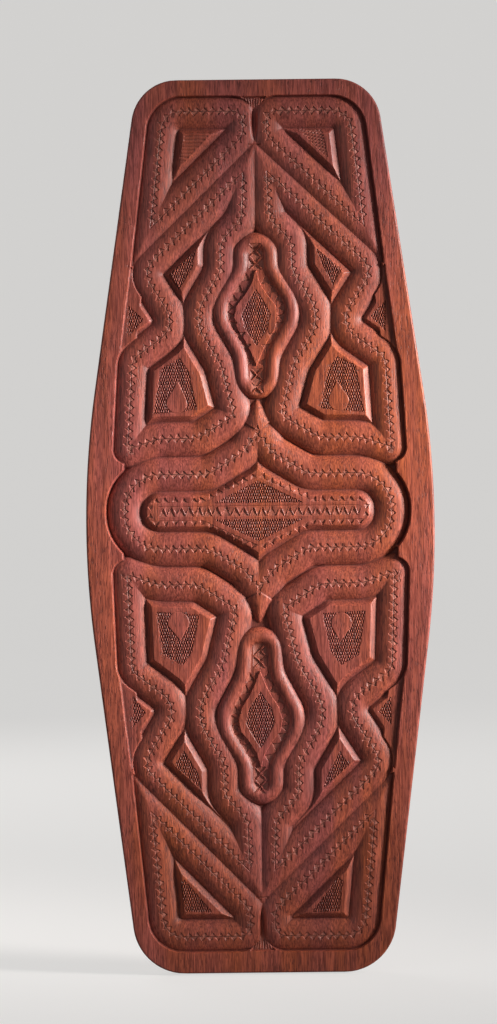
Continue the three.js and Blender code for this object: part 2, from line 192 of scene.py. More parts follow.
world = bpy.data.worlds.new("studio")
bpy.context.scene.world = world
world.use_nodes = True
tree = world.node_tree
to_camera = add_node(tree, "ShaderNodeLightPath").outputs["Is Camera Ray"]
shades = {"Factor": to_camera, "A": (0.14, 0.14, 0.16, 1), "B": (0.80, 0.79, 0.78, 1)}
shade = add_node(tree, "ShaderNodeMix", shades, data_type="RGBA")
tree.links.new(shade.outputs["Result"], tree.nodes["Background"].inputs["Color"])
bpy.context.scene.view_settings.view_transform = "Standard"

# %% [markdown]
# ## The plank's outline
# The sides are one flat arc at the waist that runs on into straight flanks, and the four corners
# are rounded. These are the solid model's own sizes and rules, repeated here, so that the carved
# face lies exactly over it.

# %% Sizes of the plank and its carving
LENGTH, WAIST, TOP, BOTTOM = 1000 * MM, 390 * MM, 266 * MM, 281 * MM
WAIST_RADIUS, TOP_CORNER, BOTTOM_CORNER = 1050 * MM, 51 * MM, 58 * MM
THICKNESS, ARRIS = 24 * MM, 2.4 * MM
AXIS_SHIFT, CENTRE_RISE = -2.3 * MM, 16.8 * MM
RIM_WAIST, RIM_ENDS, RIM_TOP, RIM_BOTTOM = 25.2 * MM, 19 * MM, 19.5 * MM, 25 * MM
BAND_HALF, BAND_REACH, LEVEL_PITCH = 16 * MM, 20.4 * MM, 39.5 * MM
GROUND, CREST, ISLAND, SIDE_ISLAND = -9.5 * MM, -1 * MM, -1.4 * MM, -3.2 * MM
ISLAND_BEVEL = 11 * MM
LENS_HALF = 41.5 * MM
FACE_Y = board_low[1]
BACK_Y = board_high[1]
HALF = LENGTH / 2


def flank_slope(end):
    end_half = (TOP if end > 0 else BOTTOM) / 2
    run = WAIST_RADIUS - WAIST / 2 + end_half
    return math.atan2(HALF, run) - math.acos(WAIST_RADIUS / math.hypot(run, HALF))


def outline_half(z):
    """Half the plank's width at each height, before its corners are rounded."""
    z = np.asarray(z, float)
    centre = WAIST / 2 - WAIST_RADIUS
    slope = np.where(z < 0, flank_slope(-1), flank_slope(1))
    arc = centre + np.sqrt(WAIST_RADIUS**2 - z**2)
    flank = centre + (WAIST_RADIUS - np.abs(z) * np.sin(slope)) / np.cos(slope)
    return np.where(np.abs(z) < WAIST_RADIUS * np.sin(slope), arc, flank)


def field_half(z):
    """Half the width inside the rim."""
    share = np.abs(z) / HALF
    return outline_half(z) - (RIM_WAIST + (RIM_ENDS - RIM_WAIST) * share)


def field_end(end):
    return end * (HALF - (RIM_TOP if end > 0 else RIM_BOTTOM))


print("plank's half width at the ends and waist:", outline_half([-HALF, 0, HALF]).round(4))

# %% [markdown]
# ## Crest lines
# Every band is one closed line along its crest, with rounded corners. Four S-shaped loops and four
# corner loops are mirror images of each other, near enough, and one lens-shaped loop lies across
# the middle. A corner is given as shares: across from the pattern's axis to the rim, and along
# from the middle to the end, with the radius of its bend.

# %% Crest lines of the bands
S_LOOP = [
    [0.117, 0.816, 0], [1.02, 0.514, 1.25], [0.668, 0.346, 1.5], [1.012, 0.246, 1.1],
    [0.976, -0.029, 0], [0.755, 0.002, 3.8], [0.453, 0.002, 1.9], [0.176, 0.072, 0.55],
    [0.29, 0.227, 3.1], [0.54, 0.368, 2.5], [0.315, 0.514, 1.9], [0.325, 0.6, 1.5],
    [0.128, 0.673, 1.25],
]
CORNER_LOOP = [[0.13, 1, 0.75], [1.012, 1, 1.4], [0.996, 0.645, 0], [0.12, 0.926, 1.1]]
LENS_QUARTER = [[15.5, 66, 30], [56, 41.5, 30]]
LENS_APEX, LENS_APEX_RADIUS, LENS_END_RADIUS = 90 * MM, 8 * MM, 41 * MM
SHARP_CORNERS = ((S_LOOP, 0), (CORNER_LOOP, 2))  # which corner of each loop ends in a sharp tip
SIDES = [(side, end) for side in (-1, 1) for end in (-1, 1)]


def place(side, end, across, along):
    """A place in one quarter of the face, from its shares."""
    level = CENTRE_RISE + end * (LENS_HALF + LEVEL_PITCH)
    z = level + (field_end(end) - end * BAND_HALF - level) * along
    x = AXIS_SHIFT + (side * (float(field_half(z)) - BAND_HALF) - AXIS_SHIFT) * across
    return np.array((x, z))


def rounded_line(corners, step=math.pi / 36):
    """A closed line through (point, radius) corners, with an arc at each."""
    line = []
    for i, (point, radius) in enumerate(corners):
        before = corners[i - 1][0] - point
        after = corners[(i + 1) % len(corners)][0] - point
        long_before, long_after = np.linalg.norm(before), np.linalg.norm(after)
        before, after = before / long_before, after / long_after
        half_turn = (math.pi - math.acos(np.clip(before @ after, -1, 1))) / 2
        cut = min(radius * math.tan(half_turn), 0.48 * min(long_before, long_after))
        if cut <= 0:
            line.append(point)
            continue
        inward = (before + after) / np.linalg.norm(before + after)
        middle = point + inward * cut / math.sin(half_turn)
        start, finish = point + before * cut - middle, point + after * cut - middle
        cross = start[0] * finish[1] - start[1] * finish[0]
        sweep = math.atan2(cross, start @ finish)
        steps = max(1, math.ceil(abs(sweep) / step))
        for k in range(steps + 1):
            c, s = math.cos(sweep * k / steps), math.sin(sweep * k / steps)
            line.append(middle + (c * start[0] - s * start[1], s * start[0] + c * start[1]))
    return np.array(line)


def quarter_line(shares, side, end):
    return rounded_line([(place(side, end, a, b), bend * BAND_HALF) for a, b, bend in shares])


end_out = float(field_half(CENTRE_RISE)) - BAND_REACH
quarter = [[x * MM, z * MM, r * MM] for x, z, r in LENS_QUARTER] + [[end_out, LENS_HALF, LENS_END_RADIUS]]
half_lens = [[0, LENS_APEX, LENS_APEX_RADIUS]] + quarter + [[x, -z, r] for x, z, r in reversed(quarter)]
lens_line = rounded_line(
    [(np.array((AXIS_SHIFT + x, CENTRE_RISE + z)), r) for x, z, r in half_lens]
    + [(np.array((AXIS_SHIFT - x, CENTRE_RISE - z)), r) for x, z, r in half_lens]
)
loops = [quarter_line(shares, *q) for shares in (S_LOOP, CORNER_LOOP) for q in SIDES]

# half the rim of an upright lens: across in shares of the band's half width, along as above
LENS_RIM = [[1.0, 0.603, 1.0], [1.06, 0.515, 2.0], [2.92, 0.394, 2.5], [1.16, 0.257, 2.4], [1.02, 0.15, 1.0]]


def lens_rim(end):
    half = [(a * BAND_HALF, place(1, end, 0, b)[1], bend * BAND_HALF) for a, b, bend in LENS_RIM]
    return rounded_line(
        [(np.array((AXIS_SHIFT + x, z)), r) for x, z, r in half]
        + [(np.array((AXIS_SHIFT - x, z)), r) for x, z, r in reversed(half)]
    )


rims = [lens_rim(end) for end in (1, -1)]
crests = [lens_line, *loops]
metres = sum(np.linalg.norm(np.roll(line, -1, axis=0) - line, axis=1).sum() for line in crests)
print("crest lines:", len(crests), "in all", round(metres, 2), "m")

# %% [markdown]
# ## Carving as a sheet of depths
# A carver works into the flat face, so the carving is kept as one depth for each spot of the face,
# on a fine raster. Each tool is a small function that lowers the raster where it cuts. First come
# the distances from every spot to the nearest crest line, which shape the rounded bands.

# %% Raster and its tools
SPOT = 0.4 * MM
xs = np.arange(-WAIST / 2 - 3 * MM, WAIST / 2 + 3 * MM, SPOT)
zs = np.arange(-HALF - 3 * MM, HALF + 3 * MM, SPOT)
FAR = 1.0
rng = np.random.default_rng(7)


def window(points, margin):
    """The raster's slices that hold some points and a margin round them."""
    low, high = np.min(points, axis=0) - margin, np.max(points, axis=0) + margin
    columns = slice(max(0, int((low[0] - xs[0]) / SPOT)), max(0, int((high[0] - xs[0]) / SPOT) + 2))
    rows = slice(max(0, int((low[1] - zs[0]) / SPOT)), max(0, int((high[1] - zs[0]) / SPOT) + 2))
    return rows, columns


def distance_to(line, reach, closed=True):
    """Distance from each spot to a line, where it is under the reach."""
    out = np.full((len(zs), len(xs)), FAR, np.float32)
    ends = np.roll(line, -1, axis=0) if closed else line[1:]
    for a, b in zip(line, ends):
        rows, columns = window((a, b), reach)
        x, z = xs[None, columns] - a[0], zs[rows, None] - a[1]
        d = b - a
        t = np.clip((x * d[0] + z * d[1]) / max(d @ d, 1e-12), 0, 1)
        near = np.hypot(x - t * d[0], z - t * d[1])
        out[rows, columns] = np.minimum(out[rows, columns], near)
    return out


def inside(outline):
    """True at each spot inside a closed outline."""
    out = np.zeros((len(zs), len(xs)), bool)
    for a, b in zip(outline, np.roll(outline, -1, axis=0)):
        low, high = (a, b) if a[1] < b[1] else (b, a)
        rows = np.nonzero((zs >= low[1]) & (zs < high[1]))[0]
        if len(rows):
            cross = low[0] + (zs[rows] - low[1]) * (high[0] - low[0]) / (high[1] - low[1])
            out[rows] ^= xs[None, :] < cross[:, None]
    return out


def softened(sheet, times):
    """A sheet after a few passes of a small blur, which rounds off its sharpest edges."""
    for _ in range(times):
        for axis in (0, 1):
            sheet = (np.roll(sheet, 1, axis) + 2 * sheet + np.roll(sheet, -1, axis)) / 4
    return sheet


# %% [markdown]
# The bands, islands and rim follow from the distances. A band is a low arch over its crest. Where
# an island is left standing its side is a bevel, and where the rim begins there is a steep wall.
# The islands beside the rim and the notches at the ends lie lower than the others.

# %% Bands, islands and rim
RIDGE_SOFT = 1.8 * MM


def sharpen(field, point, before, after):
    """Past a sharp corner the band runs on to a point, whose ridge is a little rounded."""
    rows, columns = window([point], 3 * BAND_REACH)
    x, z = xs[None, columns] - point[0], zs[rows, None] - point[1]
    far, past = [], []
    for other in (before, after):
        d = (other - point) / np.linalg.norm(other - point)
        far.append(np.abs(x * d[1] - z * d[0]))
        past.append(x * d[0] + z * d[1] < 0)
    larger = np.maximum(*far)
    rounder = larger + 0.7 * RIDGE_SOFT * (np.minimum(*far) / np.maximum(larger, SPOT)) ** 8
    beyond = np.where(past[0] & past[1], rounder, FAR)
    field[rows, columns] = np.minimum(field[rows, columns], beyond)


NEAR = 30 * MM
near_loops = np.minimum.reduce([distance_to(line, NEAR) for line in loops])
near_lens = distance_to(lens_line, NEAR)
scribed = np.minimum(near_loops, near_lens)
for side, end in SIDES:
    for shares, i in SHARP_CORNERS:
        sharpen(near_loops, *[place(side, end, *shares[k % len(shares)][:2]) for k in (i, i - 1, i + 1)])
for end in (1, -1):
    apex = np.array((AXIS_SHIFT, CENTRE_RISE + end * LENS_APEX))
    knees = [apex + (side * quarter[0][0], end * (quarter[0][1] - LENS_APEX)) for side in (-1, 1)]
    sharpen(near_lens, apex, *knees)
near = np.minimum(near_loops, near_lens)
lens_mask = inside(lens_line)


def both_sides(half, heights):
    """A closed outline from half its width at some heights."""
    return np.concatenate([np.stack([half, heights], 1), np.stack([-half, heights], 1)[::-1]])


def rounded(share):
    """How far a band has fallen, from 0 on its crest to 1 at its foot: nearly a half ellipse."""
    share = np.minimum(share, 1)
    return 0.45 * share**2 + 0.55 * (1 - np.sqrt(1 - share**2))


heights = np.linspace(field_end(-1) + BAND_HALF, field_end(1) - BAND_HALF, 60)
inner = inside(both_sides(field_half(heights) - BAND_HALF, heights))
arch = CREST + (GROUND - CREST) * rounded(near / BAND_REACH)
bevel = np.minimum(ISLAND, GROUND + (near - BAND_HALF) * -GROUND / ISLAND_BEVEL)

ring = []
for side, end in ((-1, 1), (1, 1), (1, -1), (-1, -1)):
    run = [place(side, end, a, b) for a, b, _ in S_LOOP[4:8]]
    ring += run[::-1] if side == end else run
level_ground = inside(np.array(ring)) & ~lens_mask
bevel[level_ground] = GROUND

RIM_REACH, RIM_CREST, FLOOR_DEPTH = 10.6 * MM, -1.2 * MM, -4.8 * MM
RIM_NEAR, LEVEL_HALF, PAST_LEVEL, SIDE_CLEAR = 26 * MM, 26 * MM, 8 * MM, 42 * MM
near_rims = np.minimum(*[distance_to(line, RIM_NEAR) for line in rims])
bevel[near_rims < BAND_REACH] = GROUND
lens_floors = {end: inside(line) for end, line in zip((1, -1), rims)}
rim_arch = RIM_CREST + (GROUND - RIM_CREST) * rounded(near_rims / RIM_REACH)
for end in (-1, 1):
    low, high = sorted(place(1, end, 0, b)[1] for b in (0.03, 0.2))
    between = (zs > low) & (zs < high)
    bevel[between] = np.where(np.abs(xs - AXIS_SHIFT) < LEVEL_HALF, GROUND, bevel[between])
    bevel[lens_floors[end]] = FLOOR_DEPTH
    from_centre = end * (zs - CENTRE_RISE)
    beside = (from_centre > LENS_HALF) & (from_centre < LENS_HALF + LEVEL_PITCH + PAST_LEVEL)
    bevel[beside[:, None] & (np.abs(xs)[None, :] > field_half(zs)[:, None] - SIDE_CLEAR)] = GROUND

WALL = 1.1 * MM
past_wall = np.minimum(near_loops - BAND_HALF, near_lens - BAND_REACH)
rim = np.clip(GROUND * (1 - past_wall / WALL), GROUND, 0)
sheet = np.where(inner, np.maximum(arch, bevel), np.maximum(arch, rim)).astype(np.float32)
sheet = np.maximum(sheet, rim_arch.astype(np.float32))

SIDE_ISLANDS = [[0.8, 0.36], [1, 0.2], [1, 0.53]]
low_islands = np.zeros_like(inner)
for side, end in SIDES:
    corners = [place(side, end, a, b) for a, b in SIDE_ISLANDS]
    for point in corners[1:]:
        point[0] = side * float(field_half(point[1]))
    low_islands |= inside(np.array(corners)) & (near > BAND_HALF)
sheet[low_islands] = np.minimum(sheet[low_islands], SIDE_ISLAND)

# a narrow cove runs between the corner loops and flares into a sunk triangle at the rim
COVE_HALF, COVE_DEPTH, COVE_SHARES = 4 * MM, -8.2 * MM, (0.893, 0.99)
FLARE_HALF, FLARE_DEPTH, COVE_CLOSING = 14 * MM, -3.4 * MM, 26 * MM
less_darkened_floors = lens_floors[1] | lens_floors[-1]
for end in (-1, 1):
    foot, throat = (place(1, end, 0, b)[1] for b in COVE_SHARES)
    across = np.abs(xs[None, :] - AXIS_SHIFT)
    opening = np.clip((zs[:, None] - throat) / (field_end(end) - throat), 0, 1)
    half = COVE_HALF + (FLARE_HALF - COVE_HALF) * opening**1.6
    cove = (across < half) & (end * zs[:, None] > end * foot) & (end * zs[:, None] < end * field_end(end))
    closing = np.clip(1 - end * (zs[:, None] - foot) / COVE_CLOSING, 0, 1)
    walls = (across / half) ** 1.5 * (1 - opening) * 0.6 + closing * 0.55
    depth = COVE_DEPTH * (1 - walls) + (FLARE_DEPTH - COVE_DEPTH) * opening
    sheet = np.where(cove, np.minimum(sheet, depth), sheet)
    less_darkened_floors |= cove
sheet = softened(sheet, 2)
print("deepest cut so far:", round(float(-sheet.min()) / MM, 2), "mm")

# %% [markdown]
# ## Fine cuts
# Over the rounded forms go the knife cuts. A line is scribed along every crest, with a row of small
# triangular chips on each side of it. A chip is stabbed down along its two slanting edges and then
# sliced from the base, so its floor slopes down towards the point. Fields of hatching are two sets
# of V-grooves that cross at a narrow angle and leave little lozenges along the grain.

# %% Knife and chisel
cuts = np.zeros_like(sheet)
hatched = np.zeros_like(sheet)
JITTER = 0.35 * MM
UPRIGHT = [(0.365, 2.5 * MM), (-0.365, 2.5 * MM)]  # two sets that leave lozenges along the grain
HATCH_DEPTH = 1.1 * MM
GROOVE_SHARE = 0.62  # of the pitch, the rest is left standing


def lower(rows, columns, depth):
    cuts[rows, columns] = np.maximum(cuts[rows, columns], depth)


def cut_chip(at, toward, base, reach, depth):
    """A triangular chip: its base is centred on a place, and its point lies toward a direction."""
    at = np.asarray(at, float) + rng.normal(0, JITTER, 2)
    out = np.asarray(toward, float) / np.hypot(*toward)
    along = np.array((out[1], -out[0]))
    base, reach = base * rng.uniform(0.85, 1.12), reach * rng.uniform(0.85, 1.15)
    rows, columns = window((at - base, at + base, at + out * reach), base / 2)
    x, z = xs[None, columns] - at[0], zs[rows, None] - at[1]
    s, t = x * along[0] + z * along[1], (x * out[0] + z * out[1]) / reach
    within = (t > 0) & (t < 1) & (np.abs(s) < base / 2 * (1 - t))
    lower(rows, columns, np.where(within, depth * (0.3 + 0.7 * t), 0))


def cut_line(points, width, depth, closed=False):
    """A V-groove along a line."""
    near_line = distance_to(np.asarray(points, float), width, closed)
    lower(slice(None), slice(None), np.clip(depth * (1 - near_line / (width / 2)), 0, None))


def along_line(line, pitch, closed=True, later=0.0):
    """Places at an even pitch along a line, each with the line's direction there."""
    points = np.vstack([line, line[:1]]) if closed else np.asarray(line, float)
    steps = np.linalg.norm(np.diff(points, axis=0), axis=1)
    travelled = np.concatenate([[0], np.cumsum(steps)])
    count = max(1, round(travelled[-1] / pitch))
    for k in range(count):
        where = (k + 0.5 + later) / count * travelled[-1]
        i = min(int(np.searchsorted(travelled, where)) - 1, len(steps) - 1)
        d = (points[i + 1] - points[i]) / steps[i]
        yield points[i] + d * (where - travelled[i]), d


def chip_row(line, size, side, closed=True, later=0.0):
    """Chips on one side of a line, by their pitch and shape. Gives how many were cut."""
    pitch, *shape = size
    made = 0
    for at, d in along_line(line, pitch, closed, later):
        if min(np.linalg.norm(at - tip) for tip in tips) >= BARE:
            cut_chip(at, side * np.array((-d[1], d[0])), *shape)
            made += 1
    return made


def hatch(outline, families, bare=None):
    """Sets of parallel V-grooves inside an outline: each set has an angle and a pitch."""
    field = inside(np.asarray(outline, float))
    if bare is not None:
        field &= ~bare
    rows = np.nonzero(field.any(1))[0]
    columns = np.nonzero(field.any(0))[0]
    if not len(rows):
        return
    rows, columns = slice(rows[0], rows[-1] + 1), slice(columns[0], columns[-1] + 1)
    x, z = xs[None, columns], zs[rows, None]
    deep = np.zeros(field[rows, columns].shape)
    for angle, pitch in families:
        across = x * math.cos(angle) + z * math.sin(angle)
        wave = np.abs((across / pitch) % 1 - 0.5) * 2
        deep = np.maximum(deep, np.clip((wave - (1 - GROOVE_SHARE)) / GROOVE_SHARE, 0, 1))
    lower(rows, columns, np.where(field[rows, columns], HATCH_DEPTH * deep, 0))
    if families is UPRIGHT:
        hatched[field] = 1


# %% Where each spot lies beside its crest
NOT_NEAR, CREST_REACH = 20 * MM, 14 * MM
from_crest = np.full_like(sheet, NOT_NEAR)
beside_crest = np.full_like(sheet, NOT_NEAR)
chip_count = np.zeros_like(sheet)


def note_crest(line, pitch):
    """Beside a crest: the distance, bare and signed by side, and how many chips come before."""
    ends = np.roll(line, -1, axis=0)
    steps = np.linalg.norm(ends - line, axis=1)
    travelled = np.concatenate([[0], np.cumsum(steps)])
    per_metre = max(1, round(travelled[-1] / pitch)) / travelled[-1]
    for a, b, step, before in zip(line, ends, steps, travelled):
        if step < 1e-9:
            continue
        rows, columns = window((a, b), CREST_REACH)
        x, z = xs[None, columns] - a[0], zs[rows, None] - a[1]
        d = (b - a) / step
        along = np.clip(x * d[0] + z * d[1], 0, step)
        near_here = np.hypot(x - along * d[0], z - along * d[1])
        closer = near_here < from_crest[rows, columns]
        side = np.where(x * d[1] - z * d[0] < 0, -1, 1)
        beside_crest[rows, columns] = np.where(closer, side * near_here, beside_crest[rows, columns])
        count = (before + along) * per_metre
        chip_count[rows, columns] = np.where(closer, count, chip_count[rows, columns])
        from_crest[rows, columns] = np.where(closer, near_here, from_crest[rows, columns])


# %% Chips along every crest
CHIP_PITCH, CHIP_BASE, CHIP_REACH, CHIP_DEPTH = 8.8 * MM, 7.2 * MM, 4.8 * MM, 1.2 * MM
BARE = 7.5 * MM  # no chips so near a sharp tip, where the two rows would run together
tips = [place(side, end, *shares[i][:2]) for side, end in SIDES for shares, i in SHARP_CORNERS]
SCRIBE_WIDTH, SCRIBE_DEPTH = 1.4 * MM, 0.8 * MM
ROWS_OFF = 0.3  # the two rows are set off against each other by this share of the pitch
lower(slice(None), slice(None), np.clip(SCRIBE_DEPTH * (1 - scribed / (SCRIBE_WIDTH / 2)), 0, None))
crest_chips = 0
for line in crests:
    note_crest(line, CHIP_PITCH)
    for side, later in ((-1, 0), (1, ROWS_OFF)):
        crest_chips += chip_row(line, (CHIP_PITCH, CHIP_BASE, CHIP_REACH, CHIP_DEPTH), side, later=later)
for tip in tips:
    rows, columns = window([tip], BARE)
    near_tip = np.hypot(xs[None, columns] - tip[0], zs[rows, None] - tip[1]) < BARE
    from_crest[rows, columns][near_tip] = NOT_NEAR
print("chips along the crests:", crest_chips)

# %% [markdown]
# The islands' fields were laid out by eye and differ a little from corner to corner, so each is an
# outline of its own, read off in steps of a little over a millimetre from the plank's middle.

# %% Fields of the islands
STEP = metres_per_px


def spots(points, side, end):
    return np.array([(side * u * STEP, end * v * STEP) for u, v in points])


FIELDS = {
    (-1, 1): {
        "corner": ([(71, 394), (45, 394), (74, 363), (78, 363)], [(math.pi / 2, 3.9 * MM)]),
        "lozenge": ([(62, 277), (89, 252), (79, 237), (65, 260)], UPRIGHT),
        "beside_rim": ([(130, 222), (115, 208), (129, 192)], UPRIGHT),
        "tear": ([(79, 169), (98, 158), (106, 113), (62, 117), (70, 155)], (82.5, 124, 10.5, 146)),
    },
    (1, 1): {
        "corner": ([(42, 397), (66, 396), (72, 368), (68, 370)], [(2.3, 3 * MM), (1.35, 3.4 * MM)]),
        "lozenge": ([(59, 277), (84, 256), (75, 240), (64, 262)], UPRIGHT),
        "beside_rim": ([(128, 225), (112, 209), (127, 194)], UPRIGHT),
        "tear": ([(78, 169), (97, 160), (105, 113), (61, 117), (69, 155)], (79.5, 125, 10.5, 145)),
    },
    (-1, -1): {
        "corner": ([(52, 386), (79, 385), (84, 357), (80, 353)], UPRIGHT),
        "lozenge": ([(62, 263), (89, 238), (79, 224), (65, 247)], UPRIGHT),
        "beside_rim": ([(130, 200), (117, 186), (129, 170)], UPRIGHT),
        "tear": ([(80, 139), (99, 128), (105, 85), (62, 88), (70, 126)], (83, 96, 11, 114)),
    },
    (1, -1): {
        "corner": ([(47, 387), (75, 386), (79, 356), (74, 352)], UPRIGHT),
        "lozenge": ([(60, 263), (86, 240), (77, 226), (65, 248)], UPRIGHT),
        "beside_rim": ([(129, 201), (116, 187), (129, 172)], UPRIGHT),
        "tear": ([(79, 140), (97, 130), (104, 86), (61, 88), (69, 127)], (80, 98, 10.5, 117)),
    },
}
FIELD_LINE = (1.3 * MM, 0.8 * MM)  # width and depth of the line round a field
for (side, end), fields in FIELDS.items():
    for name in ("corner", "lozenge", "beside_rim"):
        points, families = fields[name]
        hatch(spots(points, side, end), families)
    points, (u, v, radius, tip) = fields["tear"]
    drop = [(u + radius * math.cos(a), v + radius * math.sin(a)) for a in np.linspace(-3.5, 0.35, 24)]
    drop_line = spots(drop + [(u - 1.5, tip)], side, end)
    hatch(spots(points, side, end), UPRIGHT, bare=inside(drop_line))
    cut_line(drop_line, *FIELD_LINE, closed=True)

# %% [markdown]
# The island inside the middle band has a slot of zigzag chips along its middle, two hatched half
# lozenges on it, and a row of chips that follows both. The two upright lenses each hold a lozenge
# within a ring of larger chips, and end in crossed cuts.

# %% Middle island
middle = np.array((AXIS_SHIFT, CENTRE_RISE))


def from_middle(points):
    return np.array([middle + np.array(p) * MM for p in points])


BAR_OUT, BAR_HIGH, STRIP = 112, 5.6, 9.2
ROW_OUT, ROW_HIGH, LOZENGE_OUT, LOZENGE_HIGH = 119, 10.2, 50, 34
SLOT_LINE, ROW_LINE = (1.2 * MM, 0.9 * MM), (1.1 * MM, 0.7 * MM)
ROW_CHIPS = (10.4 * MM, 7.6 * MM, 6 * MM, 1.9 * MM)
ZIGZAG_CHIPS = (10 * MM, 8.6 * MM, 10.2 * MM)
END_CHIP, APEX_CHIP = (6 * MM, 6 * MM, 1.7 * MM), (5 * MM, 6 * MM, 1.6 * MM)
for flip in (-1, 1):
    cut_line(from_middle([(-BAR_OUT, flip * BAR_HIGH), (BAR_OUT, flip * BAR_HIGH)]), *SLOT_LINE)
    half = [(-LOZENGE_OUT, STRIP), (0, LOZENGE_HIGH), (LOZENGE_OUT, STRIP)]
    hatch(from_middle([(x, flip * z) for x, z in half]), UPRIGHT)
    path = [(-ROW_OUT, ROW_HIGH), (-62, ROW_HIGH), (0, 39), (62, ROW_HIGH), (ROW_OUT, ROW_HIGH)]
    path = from_middle([(x, flip * z) for x, z in path])
    chip_row(path, ROW_CHIPS, flip, closed=False)
    cut_line(path, *ROW_LINE)
    for out in (-1, 1):
        cut_chip(middle + np.array((out * ROW_OUT, flip * 4)) * MM, (out, flip * 0.4), *END_CHIP)
zigzag = from_middle([(-BAR_OUT, -BAR_HIGH), (BAR_OUT, -BAR_HIGH)])
chip_row(zigzag, (*ZIGZAG_CHIPS, 1.7 * MM), 1, closed=False)
chip_row(zigzag + (5 * MM, 2 * BAR_HIGH * MM), (*ZIGZAG_CHIPS, 0.8 * MM), -1, closed=False)
for flip in (-1, 1):
    for way in (-1, 1):
        cut_chip(middle + (0, flip * LENS_APEX), (0, way), *APEX_CHIP)

# %% Upright lenses
LENS_EDGE = 7 * MM  # from the crest of the rim to the floor's edge
LENS_FRAME = [
    (0, 257), (4, 243), (11, 231.5), (19.5, 221), (22, 209),
    (18.5, 196.5), (11, 185), (6, 175), (0, 160),
]
LENS_HATCH = [(0, 237), (8, 224), (14.3, 212), (11, 197.5), (4.5, 188), (0, 181)]
LENS_LOWER = 15  # the lower lens lies nearer to the middle
LENS_MIDDLE, RING_HALF, CROSSES = 209, 54, (276, 263, 151, 139)
FRAME_DEPTH = -2.8 * MM
RING_PITCH, CROSS_OUT = 13.4 * MM, 7.4 * MM
RING_CHIP, CROSS_CHIP = (11.5 * MM, 9.5 * MM, 1.8 * MM), (12 * MM, 7.2 * MM, 2.4 * MM)


def mirrored(half_outline, end, shift):
    """A closed outline across the pattern's axis, from its right half."""
    right_half = [(u, v - shift) for u, v in half_outline]
    both = right_half + [(-u, v) for u, v in reversed(right_half)]
    return np.array([(AXIS_SHIFT + u * STEP, end * v * STEP) for u, v in both])


for end, rim_line in zip((1, -1), rims):
    shift = LENS_LOWER if end < 0 else 0
    frame_mask = inside(mirrored(LENS_FRAME, end, shift))
    sheet[frame_mask] = np.maximum(sheet[frame_mask], FRAME_DEPTH)
    lens_field = mirrored(LENS_HATCH, end, shift)
    hatch(lens_field, UPRIGHT)
    cut_line(lens_field, *FIELD_LINE, closed=True)
    centre = np.array((AXIS_SHIFT, end * (LENS_MIDDLE - shift) * STEP))
    for at, d in along_line(rim_line, RING_PITCH):
        inward = np.array((-d[1], d[0]))
        inward *= np.sign(inward @ (centre - at))
        if abs(at[1] - centre[1]) < RING_HALF * STEP:
            cut_chip(at + inward * LENS_EDGE, inward, *RING_CHIP)
    for v in CROSSES:
        at = np.array((AXIS_SHIFT, end * (v - shift) * STEP))
        for way in ((1, 0), (-1, 0), (0, 1), (0, -1)):
            way = np.array(way)
            cut_chip(at + way * CROSS_OUT, -way, *CROSS_CHIP)

# %% Notches, stop cuts, ticks and a crack
CRACK = [(-141, 308), (-134, 305.5), (-127, 303), (-121, 299)]
STOP_CUTS = {1: 382, -1: 372}
CRACK_LINE, TICK_LINE, STOP_LINE = (1.1 * MM, 0.4 * MM), (1.5 * MM, 1.2 * MM), (1.4 * MM, 1.6 * MM)
cut_line(np.array(CRACK) * STEP, *CRACK_LINE)
for end in (-1, 1):
    mouth = field_end(end) - end * 1.5 * MM
    for tick in np.linspace(-11, 11, 8):
        foot = mouth - end * (10 - abs(tick) * 0.4) * MM
        cut_line([(AXIS_SHIFT + tick * MM, mouth), (AXIS_SHIFT + tick * 0.8 * MM, foot)], *TICK_LINE)
    stop = end * STOP_CUTS[end] * STEP
    cut_line([(AXIS_SHIFT - 7 * MM, stop), (AXIS_SHIFT + 7 * MM, stop)], *STOP_LINE)

# %% [markdown]
# Hand work is never quite even, so a slow, very shallow waviness goes over the whole face, and the
# outer edge is rounded down. The sheet is then finished.

# %% Waviness and the outer edge
WAVE_DEPTH = 0.1 * MM
wave_x, wave_z = xs[None, :], zs[:, None]
wavy = np.sin(wave_x * 95 + 2.1 * np.sin(wave_z * 21)) * np.sin(wave_z * 47 + 1.3 * np.sin(wave_x * 33))
forms = sheet
sheet = sheet - cuts + WAVE_DEPTH * wavy
print("deepest cut and mean, mm:", round(float(-sheet.min()) / MM, 2), round(float(-sheet.mean()) / MM, 2))

# %% [markdown]
# ## The board
# The face is a grid with as many squares as the raster needs. Its columns are spread from edge to
# edge in every row, so the grid takes the outline, and each corner of a square is moved to the
# depth of the sheet. Decimating then keeps small triangles only where the carving turns. Last, the
# rim of the face is extruded back through the plank's thickness, closed, and its edge bevelled.

# %% Shape the face
COLUMNS, ROWS = ((740, 1860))
FACE_TRIANGLES = 192_000


def corner_half(z):
    """Half the width with the four corners rounded, for heights inside the plank."""
    half = outline_half(z)
    for end, radius in ((1, TOP_CORNER), (-1, BOTTOM_CORNER)):
        slope = flank_slope(end)
        tall = HALF - radius
        middle_x = float(outline_half(np.array([end * tall]))[0]) - radius / math.cos(slope)
        rise = np.clip(end * z - tall, None, radius)
        arc = middle_x + np.sqrt(np.clip(radius**2 - rise**2, 0, None))
        in_arc = end * z > tall + radius * math.sin(slope)
        half = np.where(in_arc, arc, half)
    return half


def sample(field, x, z):
    """The value of a raster at some places, between its spots."""
    column = np.clip((x - xs[0]) / SPOT, 0, len(xs) - 1.001)
    row = np.clip((z - zs[0]) / SPOT, 0, len(zs) - 1.001)
    i, j = row.astype(int), column.astype(int)
    a, b = row - i, column - j
    low = field[i, j] * (1 - b) + field[i, j + 1] * b
    return low * (1 - a) + (field[i + 1, j] * (1 - b) + field[i + 1, j + 1] * b) * a


